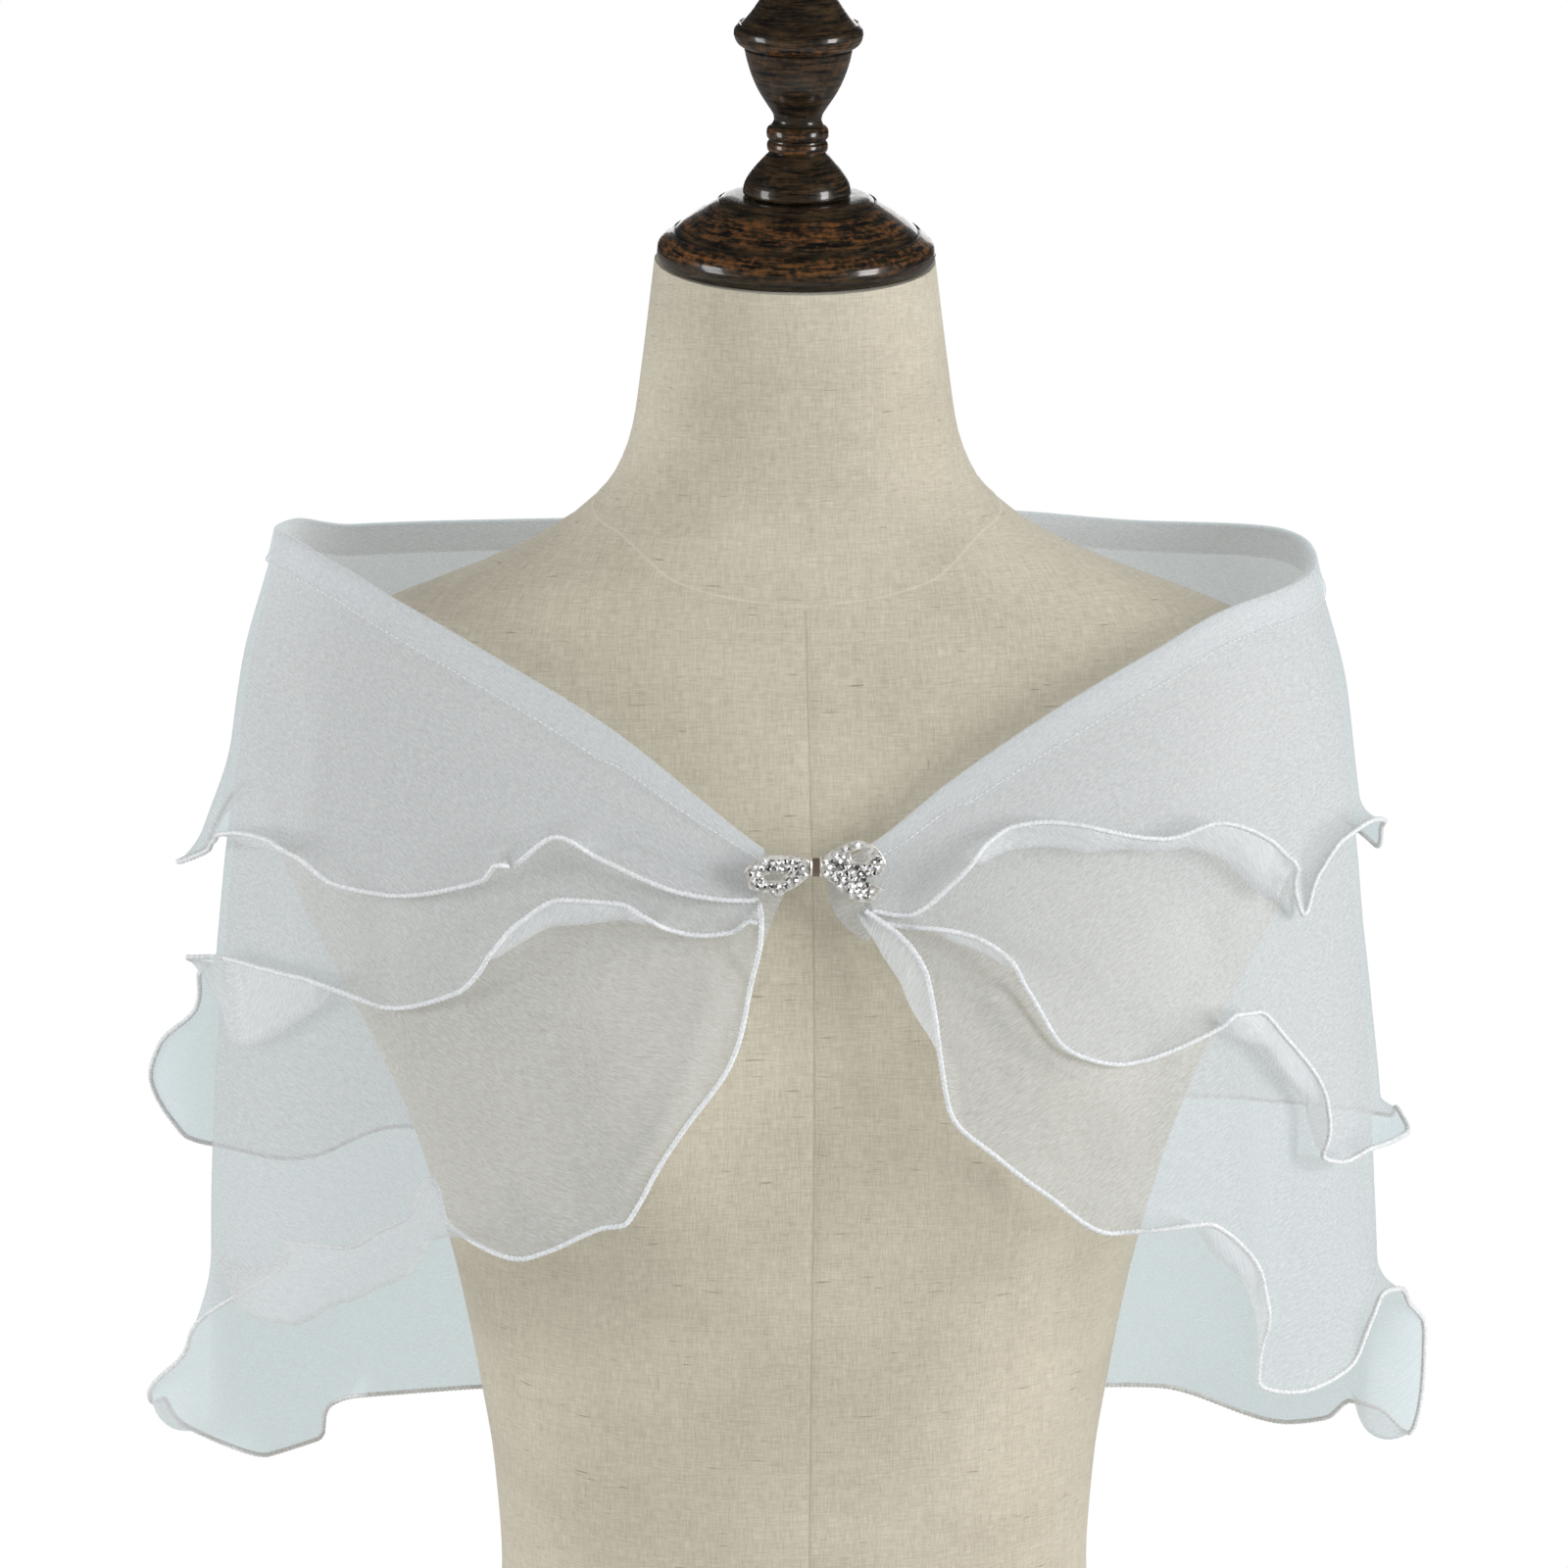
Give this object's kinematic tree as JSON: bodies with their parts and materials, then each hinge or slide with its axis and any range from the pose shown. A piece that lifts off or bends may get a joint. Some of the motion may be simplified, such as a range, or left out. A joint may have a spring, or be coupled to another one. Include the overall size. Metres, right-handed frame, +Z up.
{
  "type": "evening stole on a dress form",
  "caption": "Sheer layered evening stole with rolled wavy hems and a folded top band, closed by a bow clasp and resting on a linen dress form with a turned wood cap and finial.",
  "frame": {"origin": "middle of the dress form's flat foot, on the surface that it stands on", "axes": "+Z up along the form, -Y the front. Left (-X) and right (+X) in the names are as seen from the front."},
  "size_m": [0.4877, 0.2586, 0.8544],
  "materials": {
    "sheer_cloth": "sheer crinkled chiffon, soft sheen",
    "linen": "plain slubby linen weave",
    "dark_wood": "glossy dark stain, worn brown at the edges",
    "silver": "polished silver plate set with clear stones"
  },
  "bodies": {
    "root": {"form_torso": "linen", "form_neck_cap": "dark_wood", "form_finial": "dark_wood", "tier_short": "sheer_cloth", "tier_middle": "sheer_cloth", "tier_long": "sheer_cloth", "top_band": "sheer_cloth", "clasp_bow_left": "silver", "clasp_bow_right": "silver", "clasp_knot": "silver", "clasp_jaw_left": "silver", "clasp_jaw_right": "silver"}
  },
  "joints": []
}
